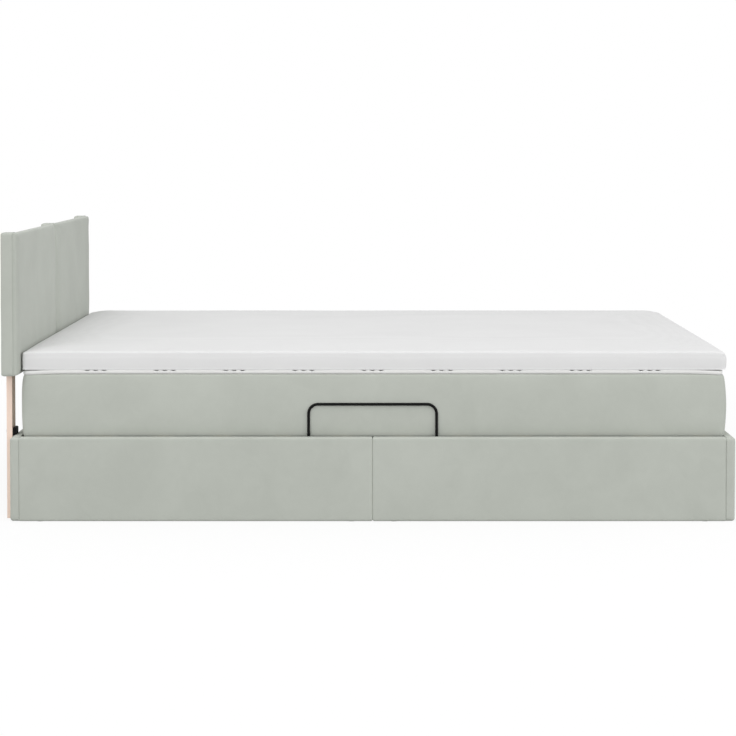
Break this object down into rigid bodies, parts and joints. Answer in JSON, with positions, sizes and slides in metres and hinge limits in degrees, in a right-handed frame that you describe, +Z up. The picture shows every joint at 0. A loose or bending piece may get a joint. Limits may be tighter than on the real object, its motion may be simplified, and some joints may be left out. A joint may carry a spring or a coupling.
{
  "type": "storage bed",
  "caption": "Velvet storage bed with a padded headboard, mattress and topper; the slatted platform lifts sideways on hinges and gas struts.",
  "frame": {"origin": "centre of the footprint, on the floor", "axes": "+X along the bed from head to foot, +Z up, the side that lifts at -Y"},
  "size_m": [2.0716, 1.471, 0.817],
  "materials": {
    "velvet": "soft sage grey velvet",
    "white_fabric": "matte white knit",
    "lining": "plain woven lining",
    "foam": "foam and spring core",
    "board": "raw particle board",
    "pine": "sawn pine",
    "birch": "bent birch ply",
    "hardboard": "thin fibre board",
    "black_steel": "black powder coat",
    "zinc_steel": "zinc plated",
    "frame_steel": "dark grey powder coat",
    "rod_steel": "ground and plated",
    "black_plastic": "moulded",
    "felt": "thin grey felt"
  },
  "bodies": {
    "base": {"near_panel_head_board": "board", "near_panel_head_cover": "velvet", "near_panel_foot_board": "board", "near_panel_foot_cover": "velvet", "far_panel_head_board": "board", "far_panel_head_cover": "velvet", "far_panel_foot_board": "board", "far_panel_foot_cover": "velvet", "head_panel_board": "board", "head_panel_cover": "velvet", "foot_panel_board": "board", "foot_panel_cover": "velvet", "joining_plates": "zinc_steel", "corner_brackets": "zinc_steel", "corner_bolts": "zinc_steel", "wood_screws": "zinc_steel", "support_battens": "pine", "floor_battens": "pine", "floor_boards": "hardboard", "glides": "felt", "hinge_fixed_leaves": "zinc_steel", "hinge_pins": "zinc_steel", "strut_foot_brackets": "zinc_steel", "headboard_pad_near": "velvet", "headboard_board_near": "board", "headboard_pad_far": "velvet", "headboard_board_far": "board", "headboard_rib_near": "velvet", "headboard_rib_middle": "velvet", "headboard_rib_far": "velvet", "headboard_leg_near": "pine", "headboard_leg_far": "pine", "leg_hooks": "black_steel", "leg_bolts": "black_steel", "leg_nuts": "black_steel"},
    "lift_platform": {"lift_tube_near": "frame_steel", "lift_tube_far": "frame_steel", "lift_tube_centre": "frame_steel", "lift_tube_head": "frame_steel", "lift_tube_foot": "frame_steel", "lift_cross_tubes": "frame_steel", "tube_caps": "black_plastic", "slats_near": "birch", "slats_far": "birch", "slat_holders": "black_plastic", "retaining_bar_near": "black_steel", "retaining_bar_far": "black_steel", "bar_saddles": "black_steel", "hinge_moving_leaves": "zinc_steel", "strut_lift_brackets": "frame_steel", "mattress_core": "foam", "mattress_border": "velvet", "mattress_top_panel": "white_fabric", "mattress_bottom_panel": "lining", "topper": "white_fabric"},
    "strut_head_cylinder": {"strut_cylinder_head": "frame_steel"},
    "strut_head_rod": {"strut_rod_head": "rod_steel"},
    "strut_foot_cylinder": {"strut_cylinder_foot": "frame_steel"},
    "strut_foot_rod": {"strut_rod_foot": "rod_steel"}
  },
  "joints": [
    {"name": "platform_lift", "type": "hinge", "parent": "base", "child": "lift_platform", "pos_m": [0.01075, 0.7091, 0.2445], "axis": [-1, 0, 0], "range_deg": [0, 45]},
    {"name": "strut_head_pivot", "type": "hinge", "parent": "base", "child": "strut_head_cylinder", "pos_m": [-0.93375, 0.68, 0.06], "axis": [-1, 0, 0], "range_deg": [0, 23.92]},
    {"name": "strut_head_slide", "type": "slide", "parent": "strut_head_cylinder", "child": "strut_head_rod", "axis": [0, -0.7591, 0.651], "range_m": [0, 0.10954]},
    {"name": "strut_foot_pivot", "type": "hinge", "parent": "base", "child": "strut_foot_cylinder", "pos_m": [0.95525, 0.68, 0.06], "axis": [-1, 0, 0], "range_deg": [0, 23.92]},
    {"name": "strut_foot_slide", "type": "slide", "parent": "strut_foot_cylinder", "child": "strut_foot_rod", "axis": [0, -0.7591, 0.651], "range_m": [0, 0.10954]}
  ],
  "couplings": [
    {"joint": "strut_head_pivot", "follows": "platform_lift", "ratio": 0.52705},
    {"joint": "strut_head_slide", "follows": "platform_lift", "m_per_rad": 0.13884},
    {"joint": "strut_foot_pivot", "follows": "platform_lift", "ratio": 0.52705},
    {"joint": "strut_foot_slide", "follows": "platform_lift", "m_per_rad": 0.13884}
  ]
}
